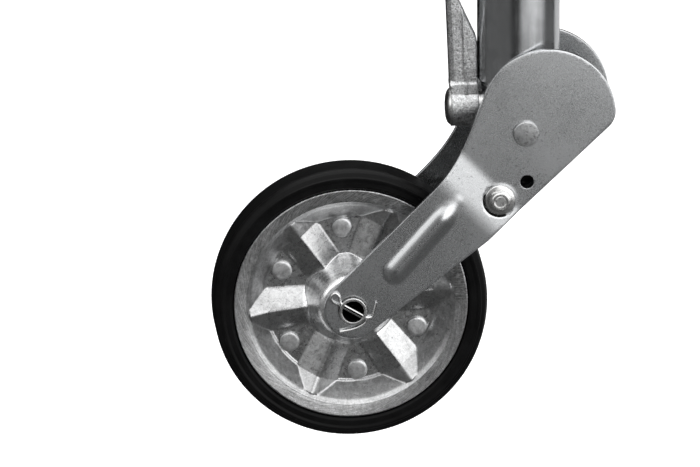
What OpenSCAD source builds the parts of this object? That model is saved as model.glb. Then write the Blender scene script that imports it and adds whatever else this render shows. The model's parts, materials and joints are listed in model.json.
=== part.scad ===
// Folding jockey wheel: a screw-jack leg that clamps to a trailer drawbar and stands on a rubber-tyred wheel.
// The origin is on the leg's axis, halfway up the clamping shank. +Z is up, +X points away from the wheel.

/* [Leg] */
// Outside diameter of the outer tube
tube_d = 60; // [59:0.5:61]
// Length of plain tube that the drawbar clamp can grip
shank_len = 270; // [250:5:290]
// Travel of the inner tube from wound up to wound down
stroke = 200; // [150:10:210]
// Lead of the jacking screw
screw_lead = 4; // [3:1:6]

/* [Fork] */
// Thickness of the pressed fork plates
plate_t = 4; // [3.5:0.25:4.5]
// Horizontal distance from the fork pivot to the axle
fork_reach = 126; // [120:1:132]
// Vertical distance from the fork pivot down to the axle
fork_drop = 130; // [126:1:136]

/* [Wheel] */
// Outside diameter of the tyre
wheel_d = 200; // [190:1:206]
// Width of the tyre across its sidewalls
tyre_w = 40; // [38:0.5:44]
// Outside diameter of the rim flange
rim_d = 171; // [168:0.5:174]
// Thickness of the pressed rim sheet
rim_t = 2.5; // [2:0.25:3]

/* [Crank] */
// Distance from the leg's axis to the crank's grip
crank_reach = 120; // [90:5:150]
// Length of the turning grip
grip_len = 100; // [80:5:120]

/* [Lock lever] */
// Height of the lever's tip above its screw
lever_len = 122; // [100:2:130]

/* [Hidden] */
$fn = 96;

// Clearances: between turning fits, between sliding tubes, and of loose shapes
fit = 0.05;
slide = 0.35;
gap = 0.5;
// Overrun of a cutting shape past the surface that it cuts
over = 1;
// Reach of a cutting shape that has to pass right through the part
far = 200;

// Places, from the fork's pivot
pivot_x = 3;
pivot_z = -shank_len / 2 - 145;
axle_x = pivot_x - fork_reach;
axle_z = pivot_z - fork_drop;

// Outer tube
tube_r = tube_d / 2;
tube_wall = 3;
shank_top = shank_len / 2;
shank_low = -shank_len / 2;
bead_len = 14;
neck_r = tube_r - 3;
neck_bore = neck_r - 2.65;
neck_top = pivot_z + 30;
swage_len = 4;
tube_low = pivot_z - 3;

// Inner tube
inner_r = neck_bore - slide;
inner_wall = 3;
inner_top = shank_top - 45;
inner_end_r = 44;
foot_plug_h = 26;

// Jacking screw, its bearing and its crank
screw_r = 8;
thread_depth = 1;
nut_h = 24;
plug_in = 16;
plug_flange = 6;
ball_circle = 13;
ball_r = 2.95;
race_h = 4;
race_gap = 4;
bearing_low = shank_top - plug_in - 2 * race_h - race_gap;
collar_h = 6;
collar_r = 17;
screw_end = inner_top - stroke - nut_h - 16;
hub_low = shank_top + plug_flange + 2;
hub_h = 22;
hub_r = 13;
bar_low = hub_low + 8;
bar_t = 8;
bar_w = 25;
crank_pin_r = 3;
crank_pin_z = hub_low + hub_h / 2 + 7;
stop_pin_r = 2;
stop_pin_z = screw_end + 5;
grip_pin_r = 5;
grip_low = bar_low + bar_t + 3;

// Lock lever on the neck's left side
lock_z = pivot_z + 12.6;
lock_screw_r = 8;
boss_r = 12.5;
boss_x = -neck_r - 0.9;
lock_washer_t = 1.2;
// Where the lock screw ends and its brass pad starts
pad_x = -neck_r + 1.4;
lever_hub_r = 14.5;
lever_hub_x = [-49.3, boss_x - 0.1 - lock_washer_t];

// Fork plates: the upper parts lie against the outer tube, the arms stand a little further apart
plate_in = tube_r + 0.4;
arm_in = plate_in + 3;
arm_out = arm_in + plate_t;
bend_low = 113;
bend_high = 138;
bend_angle = 45;
arm_angle = 45;
arm_end_r = 21;
arm_end_to = 307;
lobe_c = [142.5, 143.3];
lobe_r = 49;
corner_r = 16;
edge_angle = 43.5;
edge_knee = [98, 50];
sweep_from = [57.4, 87.1];
sweep_r = 120;
lobe_leaves = 160;
lock_hole = [127, 93.6];
lock_hole_r = 5;
bolt_at = [107.3, 80.5];
bolt_r = 5;
seat_r = 12.5;
seat_y = plate_in + plate_t + 0.2;
rivet_r = 7;
rivet_head_r = 9;
sleeve_r = 9;
bead_from = [31.5, 29.4];
bead_to = [76, 80];
bead_r = 10;
bead_h = 4;

// Axle and its split pins
axle_r = 10;
axle_bore = 8;
axle_half = arm_out + 3.8;
pin_y = axle_half - 1.9;
pin_r = 1.7;
pin_angle = -30;

// Wheel
wheel_r = wheel_d / 2;
rim_r = rim_d / 2;
flange_y = 17;
lip_r = 75;
web_r = 63;
dome_foot_r = 34;
dome_top_r = 23;
dome_y = 31;
hub_tube_r = 13;
hub_tube_bore = 12;
hub_half = dome_y + 0.3;
rivet_circle = 54;
rib_at = 7;
rivet_at = 36;
rib_half_w = 12.5;
rib_ridge_y = 12.5;
rib_tip_r = 71;

steel = "silver";
dark_steel = "dimgray";

// ---------- helpers ----------

// Points of an arc about c from angle a to angle b
function arc(c, r, a, b, step = 3) =
    let (n = ceil(abs(b - a) / step))
    [for (i = [0 : n]) c + r * [cos(a + (b - a) * i / n), sin(a + (b - a) * i / n)]];

// Cylinder along Y between two depths, at a place [x, z]
module y_rod(r, y0, y1, at = [0, 0]) {
    translate([at.x, y1, at.y]) rotate([90, 0, 0]) cylinder(r = r, h = y1 - y0);
}

// Cylinder along X between two places, on the leg's middle plane at height z
module x_rod(r, x0, x1, z) {
    translate([x0, 0, z]) rotate([0, 90, 0]) cylinder(r = r, h = x1 - x0);
}

// Upright ring or disc
module z_ring(r, bore, z0, z1) {
    translate([0, 0, z0]) difference() {
        cylinder(r = r, h = z1 - z0);
        if (bore > 0) translate([0, 0, -over]) cylinder(r = bore, h = z1 - z0 + 2 * over);
    }
}

// Turned shape about the Y axis, from an outline of [radius, y]
module y_turned(outline) {
    rotate([-90, 0, 0]) rotate_extrude() polygon(outline);
}

// Round bar between two points, with a ball at each end that stands a hair proud of it
module bar_between(p, q, r) {
    d = q - p;
    translate(p) rotate([0, acos(d.z / norm(d)), atan2(d.y, d.x)]) cylinder(r = r, h = norm(d));
    for (end = [p, q]) translate(end) sphere(r = r + 0.04);
}

// Round wire through a list of points
module wire(points, r) {
    for (i = [1 : len(points) - 1]) bar_between(points[i - 1], points[i], r);
}

module at_axle() { translate([axle_x, 0, axle_z]) children(); }

// Hexagonal prism along Y, given its width across flats
module y_hex(across, y0, y1) {
    translate([0, y1, 0]) rotate([90, 0, 0]) rotate(15) cylinder(d = across / cos(30), h = y1 - y0, $fn = 6);
}

// ---------- leg: outer tube, head and thrust bearing ----------

module outer_tube() {
    color(steel) difference() {
        rotate_extrude() polygon([
            [neck_r, tube_low], [neck_r, neck_top], [tube_r, neck_top + swage_len],
            [tube_r, shank_low - bead_len], [tube_r - 2.6, shank_low - bead_len + 4],
            [tube_r - 2.6, shank_low - 4], [tube_r, shank_low], [tube_r, shank_top],
            [tube_r - tube_wall, shank_top], [tube_r - tube_wall, shank_low],
            [neck_bore + 0.05, shank_low - 4], [neck_bore + 0.05, shank_low - bead_len + 4],
            [tube_r - tube_wall, shank_low - bead_len], [tube_r - tube_wall, neck_top + swage_len - 1.5],
            [neck_bore, neck_top - 1.5], [neck_bore, tube_low],
        ]);
        // Notches that the pivot sleeve rises into when the leg is wound up
        y_rod(sleeve_r + gap, -far, far, [pivot_x, pivot_z]);
        translate([pivot_x - sleeve_r - gap, -far, pivot_z - 20])
            cube([2 * (sleeve_r + gap), 2 * far, 20]);
        x_rod(lock_screw_r + fit, -far, 0, lock_z);
    }
}

module clamp_boss() {
    color(steel) difference() {
        x_rod(boss_r, boss_x, -20, lock_z);
        translate([0, 0, lock_z - 30]) cylinder(r = neck_r, h = 60);
        x_rod(lock_screw_r + fit, -far, 0, lock_z);
    }
}

module head_plug() {
    color(steel) difference() {
        union() {
            z_ring(tube_r - tube_wall, 0, shank_top - plug_in, shank_top);
            z_ring(tube_r - 0.5, 0, shank_top, shank_top + plug_flange - 1.5);
            translate([0, 0, shank_top + plug_flange - 1.5])
                cylinder(r1 = tube_r - 0.5, r2 = tube_r - 2, h = 1.5);
        }
        translate([0, 0, shank_top - far / 2]) cylinder(r = screw_r + fit, h = far);
    }
}

// Race of the thrust bearing, standing on its flat face, with its ball groove in the other one
module thrust_race() {
    color(steel) difference() {
        z_ring(collar_r, screw_r + 0.2, 0, race_h);
        translate([0, 0, race_h + race_gap / 2]) rotate_extrude()
            translate([ball_circle, 0]) circle(r = ball_r + 0.1, $fn = 48);
    }
}

module thrust_race_upper() {
    translate([0, 0, bearing_low + 2 * race_h + race_gap]) mirror([0, 0, 1]) thrust_race();
}

module thrust_race_lower() { translate([0, 0, bearing_low]) thrust_race(); }

module thrust_balls() {
    count = 12;
    color(steel) for (i = [0 : count - 1])
        rotate(i * 360 / count) translate([ball_circle, 0, bearing_low + race_h + race_gap / 2])
            sphere(r = ball_r, $fn = 48);
}

// ---------- lock lever ----------

// Side view of the forging, as [x, height above the screw]
lever_side = [
    [-51.2, 0], [-51.2, 57], [-53.8, lever_len - 4], [-51, lever_len], [-47.6, lever_len],
    [-44.8, lever_len - 4], [-44.8, 83], [-31.9, 54], [-31.9, 19], [-29.2, 12], [-29.2, 0],
];
// The same forging seen from the front, as [y, height above the screw]: wide at the hub, narrow at the tip
lever_front = [
    [-13.5, 0], [13.5, 0], [9, 45], [8, lever_len - 8], [5, lever_len], [-5, lever_len],
    [-8, lever_len - 8], [-9, 45],
];

module lock_lever() {
    color(dark_steel) difference() {
        union() {
            x_rod(lever_hub_r, lever_hub_x[0], lever_hub_x[1], lock_z);
            intersection() {
                translate([0, far, lock_z]) rotate([90, 0, 0]) linear_extrude(2 * far) polygon(lever_side);
                translate([-far, 0, lock_z]) rotate([90, 0, 90]) linear_extrude(far) polygon(lever_front);
            }
        }
        x_rod(lock_screw_r, -far, 0, lock_z);
    }
}

module lock_screw() {
    cap_x = lever_hub_x[0] - 2.2;
    cap_r = 13.2;
    color(steel) {
        x_rod(lock_screw_r, cap_x, pad_x, lock_z);
        // Low domed head, spun over the lever's hub
        translate([cap_x, 0, lock_z]) rotate([0, -90, 0]) rotate_extrude()
            polygon([[0, -0.2], [cap_r, -0.2], [cap_r, 0.6], [cap_r - 3.2, 1.5], [5, 1.9], [0, 2]]);
    }
}

module lock_washer() {
    color(steel) difference() {
        x_rod(12, lever_hub_x[1], lever_hub_x[1] + lock_washer_t, lock_z);
        x_rod(lock_screw_r, -far, 0, lock_z);
    }
}

module pressure_pad() {
    color("goldenrod") x_rod(6, pad_x, -inner_r - slide, lock_z);
}

// ---------- jacking screw and crank ----------

module spindle() {
    thread_low = screw_end + 12;
    thread_high = bearing_low - collar_h;
    turns = floor((thread_high - thread_low) / screw_lead);
    root = screw_r - thread_depth;
    // Trapezoidal groove: each flank and the root as shares of the lead
    flank = 0.2;
    root_len = 0.25;
    groove = [
        for (i = [0 : turns - 1])
            let (z = thread_low + i * screw_lead)
            each [
                [screw_r, z], [root, z + flank * screw_lead], [root, z + (flank + root_len) * screw_lead],
                [screw_r, z + (2 * flank + root_len) * screw_lead],
            ]
    ];
    color(steel) difference() {
        rotate_extrude() polygon(concat(
            [[0, screw_end], [screw_r - 1, screw_end], [screw_r, screw_end + 1]],
            groove,
            [[screw_r, thread_high], [collar_r, thread_high], [collar_r, bearing_low], [screw_r, bearing_low],
             [screw_r, hub_low + hub_h + 1], [screw_r - 1, hub_low + hub_h + 2], [0, hub_low + hub_h + 2]]
        ));
        y_rod(stop_pin_r, -far, far, [0, stop_pin_z]);
        y_rod(crank_pin_r, -far, far, [0, crank_pin_z]);
    }
}

module spindle_stop() {
    color(steel) difference() {
        z_ring(14, screw_r, stop_pin_z - 3.5, stop_pin_z + 3.5);
        y_rod(stop_pin_r, -far, far, [0, stop_pin_z]);
    }
}

module spindle_stop_pin() {
    color(steel) y_rod(stop_pin_r, -13.5, 13.5, [0, stop_pin_z]);
}

module head_washer() {
    color(dark_steel) z_ring(16, screw_r + 0.2, shank_top + plug_flange + 0.3, hub_low);
}

module crank_arm() {
    color(steel) difference() {
        union() {
            z_ring(hub_r, 0, hub_low, hub_low + hub_h);
            translate([0, 0, bar_low]) linear_extrude(bar_t) {
                translate([0, -bar_w / 2]) square([crank_reach, bar_w]);
                translate([crank_reach, 0]) circle(d = bar_w);
            }
        }
        translate([0, 0, hub_low - over]) cylinder(r = screw_r, h = hub_h + 2 * over);
        translate([crank_reach, 0, bar_low - over]) cylinder(r = grip_pin_r, h = bar_t + 2 * over);
        y_rod(crank_pin_r, -far, far, [0, crank_pin_z]);
    }
}

module crank_pin() {
    color(dark_steel) y_rod(crank_pin_r, -hub_r - 0.6, hub_r + 0.6, [0, crank_pin_z]);
}

module grip_pin() {
    top = grip_low + grip_len + 4;
    color(steel) translate([crank_reach, 0, 0]) {
        z_ring(grip_pin_r, 0, bar_low, top + 2);
        z_ring(9, 0, bar_low - 3, bar_low);
        z_ring(8, 0, bar_low + bar_t, bar_low + bar_t + 2);
    }
}

module grip_washer() {
    low = grip_low + grip_len + 1;
    color(steel) translate([crank_reach, 0, 0]) z_ring(10, grip_pin_r, low, low + 3);
}

module grip() {
    r = [13, 16, 14.5, 12.5];
    color("black") translate([crank_reach, 0, grip_low]) difference() {
        rotate_extrude() polygon([
            [grip_pin_r + 0.3, 0], [r[0], 0], [r[1], 3], [r[1], 8], [r[2], 14],
            [r[2] + 1, grip_len / 2], [r[2], grip_len - 14], [r[3], grip_len - 3], [r[3] - 2, grip_len],
            [grip_pin_r + 0.3, grip_len],
        ]);
        // Finger flutes
        for (a = [0 : 45 : 315])
            rotate(a) translate([r[1] + 1.4, 0, 18]) cylinder(r = 2.4, h = grip_len - 36, $fn = 32);
    }
}

// ---------- inner tube ----------

module inner_tube() {
    color(steel) difference() {
        z_ring(inner_r, inner_r - inner_wall, pivot_z - inner_end_r, inner_top);
        // The end is rounded about the pivot, so the fork's bolt swings past it
        difference() {
            translate([-far, -far, pivot_z - far]) cube([2 * far, 2 * far, far]);
            y_rod(inner_end_r, -far, far, [pivot_x, pivot_z]);
            translate([0, 0, pivot_z - 10]) cylinder(r = inner_r + over, h = 11);
        }
        y_rod(sleeve_r, -far, far, [pivot_x, pivot_z]);
        y_rod(lock_hole_r, -far, far, [axle_x, axle_z] + lock_hole);
    }
}

module spindle_nut() {
    color("goldenrod") z_ring(inner_r - inner_wall, screw_r + fit, inner_top - nut_h, inner_top);
}

module guide_ring() {
    color("black") difference() {
        z_ring(tube_r - tube_wall - 0.15, inner_r, inner_top - 16, inner_top - 2);
        // Split, so that it snaps round the tube
        translate([0, -1, inner_top - 20]) cube([far, 2, 30]);
    }
}

// Plug that keeps dirt out of the tube's foot, rounded like the tube and drilled for the locking pin
module foot_plug() {
    low = pivot_z - inner_end_r;
    color("black") difference() {
        z_ring(inner_r - inner_wall, 0, low, low + foot_plug_h);
        difference() {
            translate([-far, -far, pivot_z - far]) cube([2 * far, 2 * far, far]);
            y_rod(inner_end_r, -far, far, [pivot_x, pivot_z]);
        }
        y_rod(lock_hole_r, -far, far, [axle_x, axle_z] + lock_hole);
    }
}

module pivot_sleeve() {
    color(steel) translate([pivot_x, 0, pivot_z]) difference() {
        y_rod(sleeve_r, -plate_in + 0.3, plate_in - 0.3);
        y_rod(rivet_r + fit, -far, far);
    }
}

// ---------- fork ----------

// Outline of a fork plate seen from the side, about the axle
function plate_outline() =
    let (
        along = [cos(edge_angle), sin(edge_angle)],
        down = [sin(edge_angle), -cos(edge_angle)],
        // Round corner between the lower edge and the lobe
        drop = (edge_knee - lobe_c) * down,
        in = drop - corner_r,
        out = sqrt(pow(lobe_r - corner_r, 2) - pow(in, 2)),
        corner = lobe_c + in * down + out * along,
        corner_top = atan2(corner.y - lobe_c.y, corner.x - lobe_c.x),
        // Hollow sweep between the arm's upper edge and the lobe
        sweep_c = sweep_from + sweep_r * [-sin(arm_angle), cos(arm_angle)]
    )
    concat(
        arc([0, 0], arm_end_r, 90 + arm_angle, arm_end_to),
        [edge_knee],
        arc(corner, corner_r, edge_angle - 90, corner_top),
        arc(lobe_c, lobe_r, corner_top, lobe_leaves),
        arc(sweep_c, sweep_r, lobe_leaves + 180 - 2, arm_angle + 270)
    );

// Capsule laid along the arm, its middle line sunk below the arm's outer face
module arm_capsule(r) {
    y = -arm_out + bead_r - bead_h;
    bar_between([bead_from.x, y, bead_from.y], [bead_to.x, y, bead_to.y], r);
}

// The plate on the -Y side, about the axle
module fork_plate() {
    thick = arm_out + 10;
    difference() {
        union() {
            intersection() {
                rotate([90, 0, 0]) linear_extrude(thick) polygon(plate_outline());
                // Edge view of the bent sheet
                rotate([0, -bend_angle, 0]) translate([0, 0, -far]) linear_extrude(2 * far) polygon([
                    [-50, -arm_in], [bend_low, -arm_in], [bend_high, -plate_in], [300, -plate_in],
                    [300, -plate_in - plate_t], [bend_high, -plate_in - plate_t], [bend_low, -arm_out],
                    [-50, -arm_out],
                ]);
            }
            intersection() {
                arm_capsule(bead_r);
                translate([-far, -thick, -far]) cube([2 * far, thick - arm_in - 0.5, 2 * far]);
            }
        }
        arm_capsule(bead_r - plate_t);
        y_rod(axle_r + fit, -far, 0);
        y_rod(lock_hole_r, -far, 0, lock_hole);
        y_rod(bolt_r + 0.2, -far, 0, bolt_at);
        y_rod(seat_r, -far, -seat_y, bolt_at);
        y_rod(rivet_r, -far, 0, [fork_reach, fork_drop]);
    }
}

module fork_plate_right() { color(steel) at_axle() fork_plate(); }
module fork_plate_left() { color(steel) at_axle() mirror([0, 1, 0]) fork_plate(); }

module pivot_rivet() {
    face = plate_in + plate_t;
    color(steel) translate([pivot_x, 0, pivot_z]) {
        y_rod(rivet_r, -face - 1, face + 1);
        for (side = [-1, 1]) scale([1, side, 1])
            y_turned([[0, face], [rivet_head_r, face], [rivet_head_r, face + 2.6],
                      [rivet_head_r - 0.8, face + 3.4], [0, face + 3.5]]);
    }
}

module cross_bolt() {
    color(steel) at_axle() translate([bolt_at.x, 0, bolt_at.y]) {
        y_rod(bolt_r, -seat_y - 6, seat_y + 4);
        y_rod(10.5, seat_y, seat_y + 1.8);
        y_hex(15, seat_y + 1, seat_y + 7);
    }
}

module flange_nut() {
    color(steel) at_axle() translate([bolt_at.x, 0, bolt_at.y]) difference() {
        union() {
            y_rod(11, -seat_y - 1.6, -seat_y);
            y_hex(15, -seat_y - 5.2, -seat_y - 1);
            y_rod(6.9, -seat_y - 6.8, -seat_y - 2);
        }
        y_rod(bolt_r, -far, 0);
    }
}

module bolt_spacer() {
    color(steel) at_axle() translate([bolt_at.x, 0, bolt_at.y]) difference() {
        y_rod(8, -plate_in, plate_in);
        y_rod(bolt_r + 0.2, -far, far);
    }
}

module axle_tube() {
    color(steel) at_axle() difference() {
        y_rod(axle_r, -axle_half, axle_half);
        y_rod(axle_bore, -far, far);
        for (side = [-1, 1])
            translate([0, side * pin_y, 0]) rotate([0, 90 - pin_angle, 0])
                cylinder(r = pin_r + 0.2, h = far, center = true);
    }
}

module axle_washers() {
    color(steel) at_axle() for (side = [0, 1]) mirror([0, side, 0]) difference() {
        y_rod(18, hub_half + 0.3, arm_in - 0.1);
        y_rod(axle_r + 0.1, -far, far);
    }
}

// Split pin with its eye at the upper left and its legs bent apart at the lower right
pin_along = [cos(pin_angle), 0, sin(pin_angle)];

module split_pin() {
    eye_c = [-11.8, 0, 9.8];
    leg_r = 0.95;
    $fn = 24;
    color("dimgray") translate([0, -pin_y, 0]) {
        wire([-10.5 * pin_along, 10.5 * pin_along], pin_r);
        translate(eye_c) rotate([90, 0, 0]) rotate_extrude() translate([3.4, 0]) circle(r = 1);
        wire([[9.7, 0, -5.4], [12.6, 0, -5], [17.5, 0, 6.2]], leg_r);
        wire([[9.3, 0, -6.3], [7.4, 0, -9], [-1.5, 0, -13.9], [-9.5, 0, -15.2]], leg_r);
    }
}

module split_pin_right() { at_axle() split_pin(); }
// The same pin turned over about its own length
module split_pin_left() { at_axle() rotate(180, pin_along) split_pin(); }

// ---------- wheel ----------

// One pressed rim half, on the +Y side
module rim_half() {
    t = rim_t;
    difference() {
        union() {
            y_turned([
                [hub_tube_r, dome_y - t], [dome_top_r - 2, dome_y - t], [dome_foot_r - t, t],
                [dome_foot_r - t, 0], [web_r - 1.5, 0], [lip_r - 1.5, flange_y - t], [rim_r, flange_y - t],
                [rim_r, flange_y], [lip_r - 2.5, flange_y], [web_r - 2, t], [dome_foot_r, t],
                [dome_top_r, dome_y - 1], [dome_top_r - 1, dome_y], [hub_tube_r, dome_y],
            ]);
            intersection() {
                for (a = [0 : 60 : 300]) rotate([0, -rib_at - a, 0]) rib(rib_half_w, rib_ridge_y);
                rib_space();
            }
        }
        for (a = [0 : 60 : 300]) rotate([0, -rib_at - a, 0])
            translate([0, -0.01, 0]) rib(rib_half_w - 3.6, rib_ridge_y - 3, dome_foot_r, rib_tip_r - 9);
        for (a = [0 : 60 : 300]) rotate([0, -rivet_at - a, 0])
            translate([rivet_circle, 0, 0]) y_rod(3.5, -over, far);
    }
}

// Tent-shaped rib along +X, standing on the web
module rib(half_w, ridge_y, from = 24, to = 74) {
    translate([from, 0, 0]) rotate([90, 0, 90]) linear_extrude(to - from)
        polygon([[ridge_y, 0], [0.02, half_w], [0.02, -half_w]]);
}

// Space inside the barrel where the ribs may stand
module rib_space() {
    low = hub_tube_r + 1;
    high = flange_y - 1;
    y_turned([[low, 0], [web_r - 1.6, 0], [lip_r - 2.6, high], [low, high]]);
}

module rim_left() { color(steel) at_axle() rim_half(); }
module rim_right() { color(steel) at_axle() mirror([0, 1, 0]) rim_half(); }

module rim_rivets() {
    color(steel) at_axle() for (a = [0 : 60 : 300]) rotate([0, -rivet_at - a, 0])
        translate([rivet_circle, 0, 0]) {
            y_rod(3.5, -rim_t - 1, rim_t + 1);
            y_rod(7, -rim_t - 2.5, -rim_t);
            y_rod(7, rim_t, rim_t + 2.5);
        }
}

module hub_tube() {
    color(steel) at_axle() difference() {
        y_rod(hub_tube_r, -hub_half, hub_half);
        y_rod(hub_tube_bore, -far, far);
    }
}

module hub_bushes() {
    color("white") at_axle() for (side = [0, 1]) mirror([0, side, 0]) difference() {
        y_rod(hub_tube_bore, hub_half - 22, hub_half);
        y_rod(axle_r + fit, -far, far);
    }
}

module tyre() {
    half = tyre_w / 2;
    side = [
        [web_r + 0.2, 1], [lip_r - 0.4, flange_y - rim_t - 0.2], [rim_r + 0.4, flange_y - rim_t - 0.2],
        [rim_r + 0.9, half - 0.9], [rim_r + 2.2, half], [wheel_r - 5.4, half], [wheel_r - 4.6, half + 0.3],
        [wheel_r - 3.8, half - 0.2], [wheel_r - 2.1, half - 2.4], [wheel_r - 0.6, half - 5],
        [wheel_r, half - 7.6],
    ];
    color("#222222") at_axle() y_turned(concat(
        side,
        [for (i = [len(side) - 1 : -1 : 0]) [side[i].x, -side[i].y]]
    ));
}

outer_tube();
clamp_boss();
head_plug();
thrust_race_upper();
thrust_balls();
thrust_race_lower();
lock_lever();
lock_screw();
lock_washer();
pressure_pad();
spindle();
spindle_stop();
spindle_stop_pin();
head_washer();
crank_arm();
crank_pin();
grip_pin();
grip_washer();
grip();
inner_tube();
spindle_nut();
guide_ring();
foot_plug();
pivot_sleeve();
fork_plate_right();
fork_plate_left();
pivot_rivet();
cross_bolt();
flange_nut();
bolt_spacer();
axle_tube();
axle_washers();
split_pin_right();
split_pin_left();
rim_right();
rim_left();
rim_rivets();
hub_tube();
hub_bushes();
tyre();
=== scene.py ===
# Looks of the folding jockey wheel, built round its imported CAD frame.
# Lengths are millimetres in the frame's own axes until mesh_piece() turns them into metres.
# Places on the wheel and fork are (across, up) pairs, measured from the axle.
import json
import math

import bmesh
import bpy
import numpy as np
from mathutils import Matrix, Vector
from mathutils.geometry import delaunay_2d_cdt

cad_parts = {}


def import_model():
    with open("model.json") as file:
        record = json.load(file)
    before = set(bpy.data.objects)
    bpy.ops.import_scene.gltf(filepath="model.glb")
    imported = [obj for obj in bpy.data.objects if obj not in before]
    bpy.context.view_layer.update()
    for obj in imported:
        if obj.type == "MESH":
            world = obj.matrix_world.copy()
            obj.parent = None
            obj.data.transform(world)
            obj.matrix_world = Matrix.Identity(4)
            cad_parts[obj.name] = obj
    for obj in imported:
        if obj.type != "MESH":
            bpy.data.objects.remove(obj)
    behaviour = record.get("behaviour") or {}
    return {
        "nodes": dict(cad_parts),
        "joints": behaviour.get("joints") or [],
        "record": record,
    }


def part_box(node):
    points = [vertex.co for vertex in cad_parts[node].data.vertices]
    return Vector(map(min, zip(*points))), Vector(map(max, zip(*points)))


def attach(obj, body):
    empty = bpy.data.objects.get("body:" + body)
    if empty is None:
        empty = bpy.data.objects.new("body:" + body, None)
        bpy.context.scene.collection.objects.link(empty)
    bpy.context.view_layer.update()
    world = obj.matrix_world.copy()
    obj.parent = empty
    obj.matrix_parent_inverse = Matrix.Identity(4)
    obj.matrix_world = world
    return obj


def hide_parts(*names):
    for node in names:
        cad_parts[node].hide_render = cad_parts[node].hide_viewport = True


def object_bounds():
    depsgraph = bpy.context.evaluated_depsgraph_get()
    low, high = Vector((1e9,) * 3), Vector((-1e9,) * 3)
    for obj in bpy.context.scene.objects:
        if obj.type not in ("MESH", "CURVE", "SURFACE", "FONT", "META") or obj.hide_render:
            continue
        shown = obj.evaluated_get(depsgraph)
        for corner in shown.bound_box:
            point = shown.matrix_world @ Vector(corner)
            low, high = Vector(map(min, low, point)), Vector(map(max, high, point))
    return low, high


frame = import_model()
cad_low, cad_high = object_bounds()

MM = 0.001
TURN = 2 * math.pi
rng = np.random.default_rng(7)


# ---------- places and sizes ----------

def joint_place(name):
    found = next(j for j in frame["joints"] if j["name"] == name)
    return np.array(found["pos_m"]) / MM


def box_mm(node):
    low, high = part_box(node)
    return np.array(low) / MM, np.array(high) / MM


axle = joint_place("wheel_spin")
pivot = joint_place("fork_fold")
lock_axis = joint_place("lock_turn")
pivot_at = np.array([pivot[0] - axle[0], pivot[2] - axle[2]])

wheel_r = (box_mm("tyre")[1][2] - box_mm("tyre")[0][2]) / 2
tyre_half = box_mm("tyre")[1][1]
rim_r = (box_mm("rim_left")[1][0] - box_mm("rim_left")[0][0]) / 2
dome_y = box_mm("rim_left")[1][1]

# Rim: a flat web, a domed hub inside it, and a conical barrel up to the flange outside it
SHEET = 2.5
WEB_R = 62.2
LIP_R = 75.5
FLANGE_Y = 17.0
FLANGE_TILT = 0.13
DOME_FOOT = 34.0
DOME_TOP = 23.0
RIVET_RING = 54.0
RIVETS_AT = 36.0

# Ribs: tent-shaped, six of them, the first one RIB_AT degrees round the axle
RIB_AT = 7.0
RIB_SLOPE = 0.68
RIB_HALF = 12.6
RIB_WIDENS = 0.07
RIB_FROM = 36.0
RIB_KNEE = 61.0
RIB_TO = 73.5
RIB_CREST = 1.9

# Fork plates: a round lobe at the pivot, and an arm that is set out from it
PLATE = 4.0
ARM_OUT = 37.4
SET_OUT = 3.0
PLATE_EDGE = 0.45
HOLE_EDGE = 0.25
EDGE_KNEE = np.array([98.0, 50.0])
LOBE_C = np.array([142.5, 143.3])
LOBE_R = 49.0
CORNER_R = 16.0
BEAD = (np.array([31.5, 29.4]), np.array([76.0, 80.0]))
LOCK_HOLE = np.array([127.0, 93.6])
LOCK_HOLE_R = 5.0
BOLT_AT = np.array([107.3, 80.5])
NUT_SEAT = 34.6
SEAT_WALL = (11.3, 12.7)
HOLES = [(np.array([0.0, 0.0]), 10.9), (LOCK_HOLE, LOCK_HOLE_R), (BOLT_AT, 5.4), (pivot_at, 7.05)]


# ---------- materials ----------

class Nodes:
    """An emptied node tree, with the few operations that the materials and the world are made of."""

    def __init__(self, owner):
        owner.use_nodes = True
        self.tree = owner.node_tree
        self.tree.nodes.clear()

    def new(self, kind):
        return self.tree.nodes.new("ShaderNode" + kind)

    def link(self, source, target):
        self.tree.links.new(source, target)

    def ramp(self, value, *stops):
        """Grey ramp: stops are (position, grey)."""
        node = self.new("ValToRGB")
        points = node.color_ramp.elements
        while len(points) < len(stops):
            points.new(0.5)
        for point, (place, grey) in zip(points, stops):
            point.position = place
            point.color = (grey, grey, grey, 1)
        self.link(value, node.inputs[0])
        return node.outputs[0]

    def span(self, value, low, high, from_low=0.3, from_high=0.7):
        """Maps a value onto low..high, clamped. Noise keeps mostly to 0.3..0.7."""
        node = self.new("MapRange")
        node.inputs["From Min"].default_value = from_low
        node.inputs["From Max"].default_value = from_high
        node.inputs["To Min"].default_value = low
        node.inputs["To Max"].default_value = high
        self.link(value, node.inputs["Value"])
        return node.outputs[0]

    def calculate(self, operation, a, b):
        """Math node on two values, each one a number or another node's output."""
        node = self.new("Math")
        node.operation = operation
        for socket, value in zip(node.inputs, (a, b)):
            if isinstance(value, (int, float)):
                socket.default_value = value
            else:
                self.link(value, socket)
        return node.outputs[0]

    def total(self, *values):
        result = values[0]
        for value in values[1:]:
            result = self.calculate("ADD", result, value)
        return result

    def product(self, *values):
        result = values[0]
        for value in values[1:]:
            result = self.calculate("MULTIPLY", result, value)
        return result

    def rest_of(self, share):
        return self.calculate("SUBTRACT", 1, share)


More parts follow.
